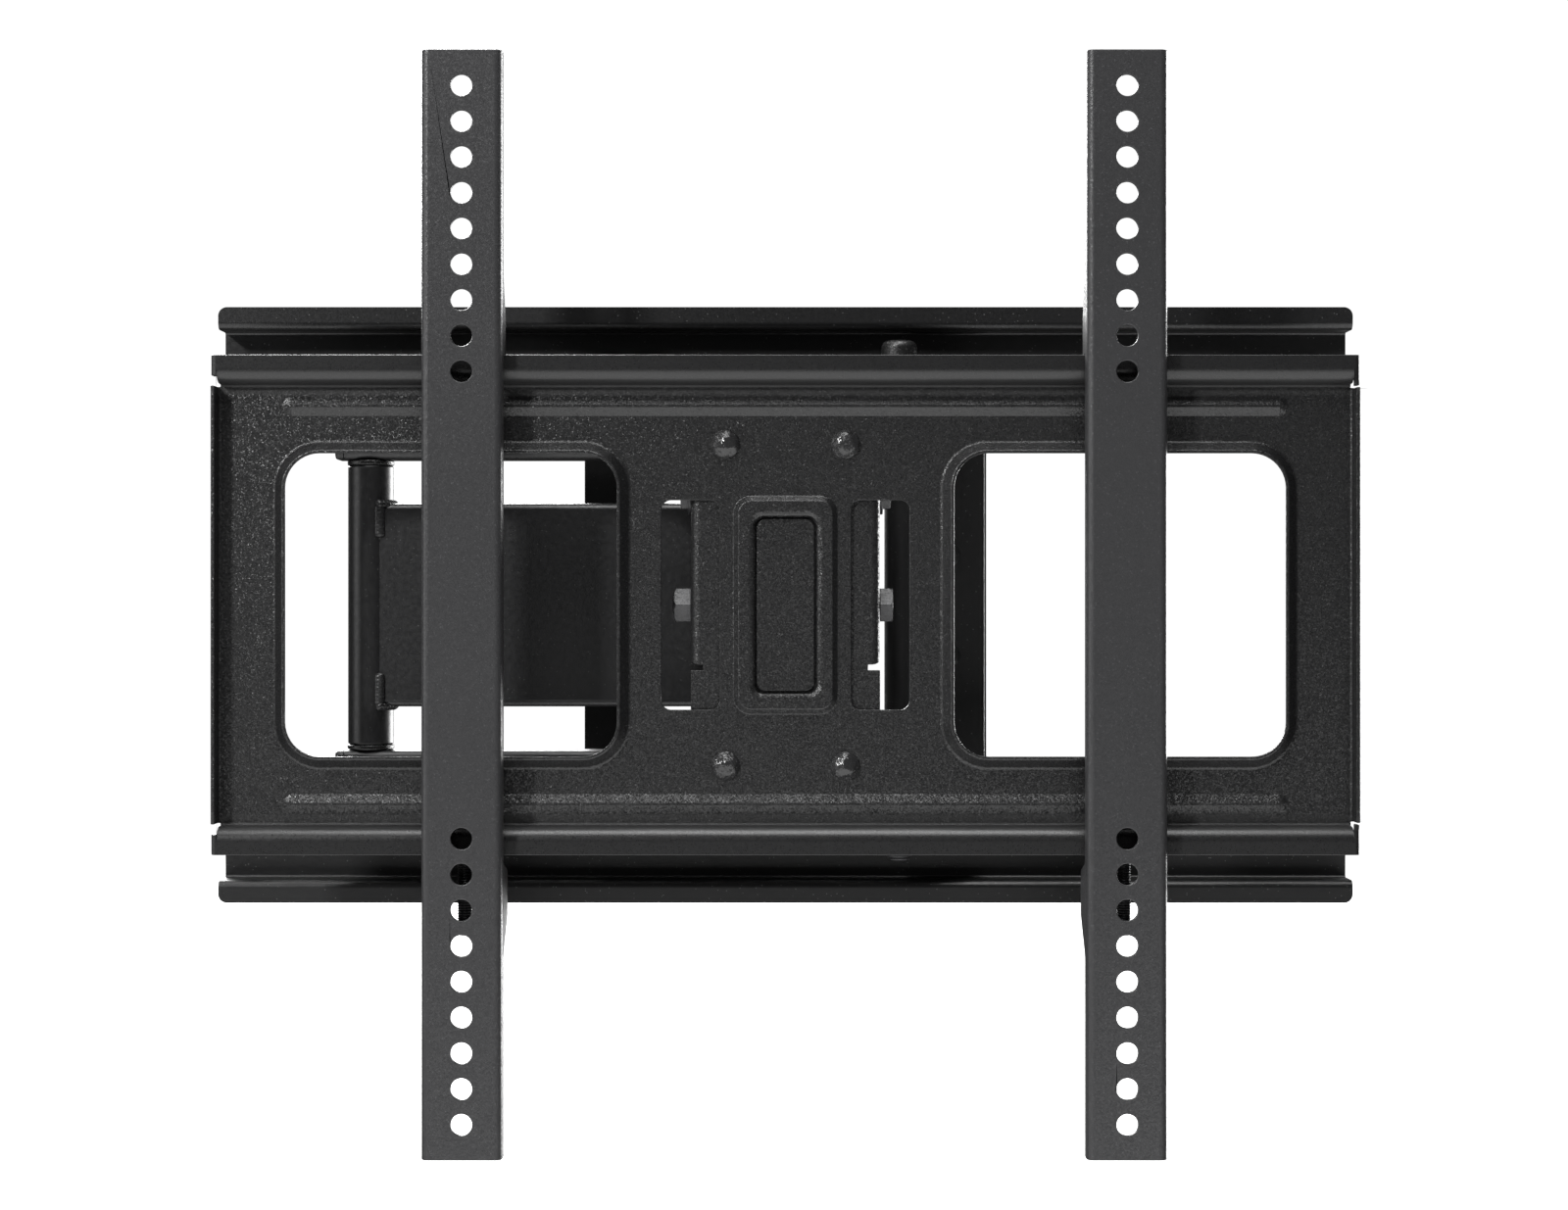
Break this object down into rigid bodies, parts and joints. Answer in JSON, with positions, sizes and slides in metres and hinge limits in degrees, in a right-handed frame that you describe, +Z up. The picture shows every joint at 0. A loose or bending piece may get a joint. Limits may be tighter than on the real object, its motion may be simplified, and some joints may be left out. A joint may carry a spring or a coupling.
{
  "type": "full-motion display wall mount",
  "caption": "Black steel wall mount that folds flat: flanged wall plate, jointed arm, swivel and tilt head, pressed faceplate and hooked display rails.",
  "frame": {"origin": "centre of the wall bolt pattern, on the wall face of the wall plate", "axes": "+Y into the wall, +Z up, +X to the right of someone who faces the wall"},
  "size_m": [0.463, 0.0871, 0.4276],
  "materials": {
    "wall_plate_coat": "fine textured powder coat, near black",
    "faceplate_coat": "textured powder coat with a fine sparkle, near black",
    "rail_coat": "fine textured powder coat, charcoal",
    "arm_coat": "smooth satin powder coat, near black",
    "rivet_coat": "powder coat over a hammered rivet head",
    "black_fastener": "blackened steel",
    "moulded_plastic": "moulded black nylon"
  },
  "bodies": {
    "wall": {"wall_plate": "wall_plate_coat", "wall_pivot_bracket": "wall_plate_coat", "wall_bracket_rivets": "wall_plate_coat", "wall_pivot_bolt": "black_fastener", "wall_pivot_nut": "black_fastener", "wall_pivot_cap": "moulded_plastic"},
    "rear_arm": {"rear_upper_tube": "arm_coat", "rear_lower_tube": "arm_coat", "rear_upper_elbow_cap": "moulded_plastic", "rear_lower_elbow_cap": "moulded_plastic", "rear_upper_wall_cap": "moulded_plastic", "rear_lower_wall_cap": "moulded_plastic", "wall_pivot_sleeve": "arm_coat", "wall_pivot_upper_washer": "moulded_plastic", "wall_pivot_lower_washer": "moulded_plastic", "elbow_bolt": "black_fastener", "elbow_nut": "black_fastener", "elbow_upper_washer": "black_fastener", "elbow_lower_washer": "black_fastener"},
    "front_arm": {"front_arm_tube": "arm_coat", "elbow_barrel": "arm_coat", "head_barrel": "arm_coat", "elbow_upper_bush": "moulded_plastic", "elbow_lower_bush": "moulded_plastic", "head_upper_bush": "moulded_plastic", "head_lower_bush": "moulded_plastic"},
    "swivel": {"swivel_yoke": "arm_coat", "swivel_bolt": "black_fastener", "swivel_nut": "black_fastener", "tilt_axle": "black_fastener", "tilt_axle_nut": "black_fastener", "tilt_sleeve": "black_fastener", "tilt_lock_bolt_left": "black_fastener", "tilt_lock_bolt_right": "black_fastener", "tilt_lock_nut_left": "black_fastener", "tilt_lock_nut_right": "black_fastener"},
    "display_head": {"faceplate": "faceplate_coat", "tilt_bracket": "faceplate_coat", "face_rivet_upper_left": "rivet_coat", "face_rivet_upper_right": "rivet_coat", "face_rivet_lower_left": "rivet_coat", "face_rivet_lower_right": "rivet_coat"},
    "left_rail": {"left_display_rail": "rail_coat", "left_lock_screw": "black_fastener"},
    "right_rail": {"right_display_rail": "rail_coat", "right_lock_screw": "black_fastener"}
  },
  "joints": [
    {"name": "wall_swing", "type": "hinge", "parent": "wall", "child": "rear_arm", "pos_m": [0.046, -0.028, 0], "axis": [0, 0, 1], "range_deg": [0, 90]},
    {"name": "elbow", "type": "hinge", "parent": "rear_arm", "child": "front_arm", "pos_m": [-0.1677, -0.028, 0], "axis": [0, 0, 1], "range_deg": [-180, 0]},
    {"name": "head_swivel", "type": "hinge", "parent": "front_arm", "child": "swivel", "pos_m": [0, -0.028, 0], "axis": [0, 0, 1], "range_deg": [0, 90]},
    {"name": "display_tilt", "type": "hinge", "parent": "swivel", "child": "display_head", "pos_m": [0, -0.056, 0], "axis": [1, 0, 0], "range_deg": [-5, 10]},
    {"name": "left_rail_slide", "type": "slide", "parent": "display_head", "child": "left_rail", "axis": [1, 0, 0], "range_m": [-0.078, 0.0865]},
    {"name": "right_rail_slide", "type": "slide", "parent": "display_head", "child": "right_rail", "axis": [1, 0, 0], "range_m": [-0.0932, 0.0713]}
  ],
  "couplings": [
    {"joint": "elbow", "follows": "wall_swing", "ratio": -2},
    {"joint": "head_swivel", "follows": "wall_swing", "ratio": 1}
  ]
}
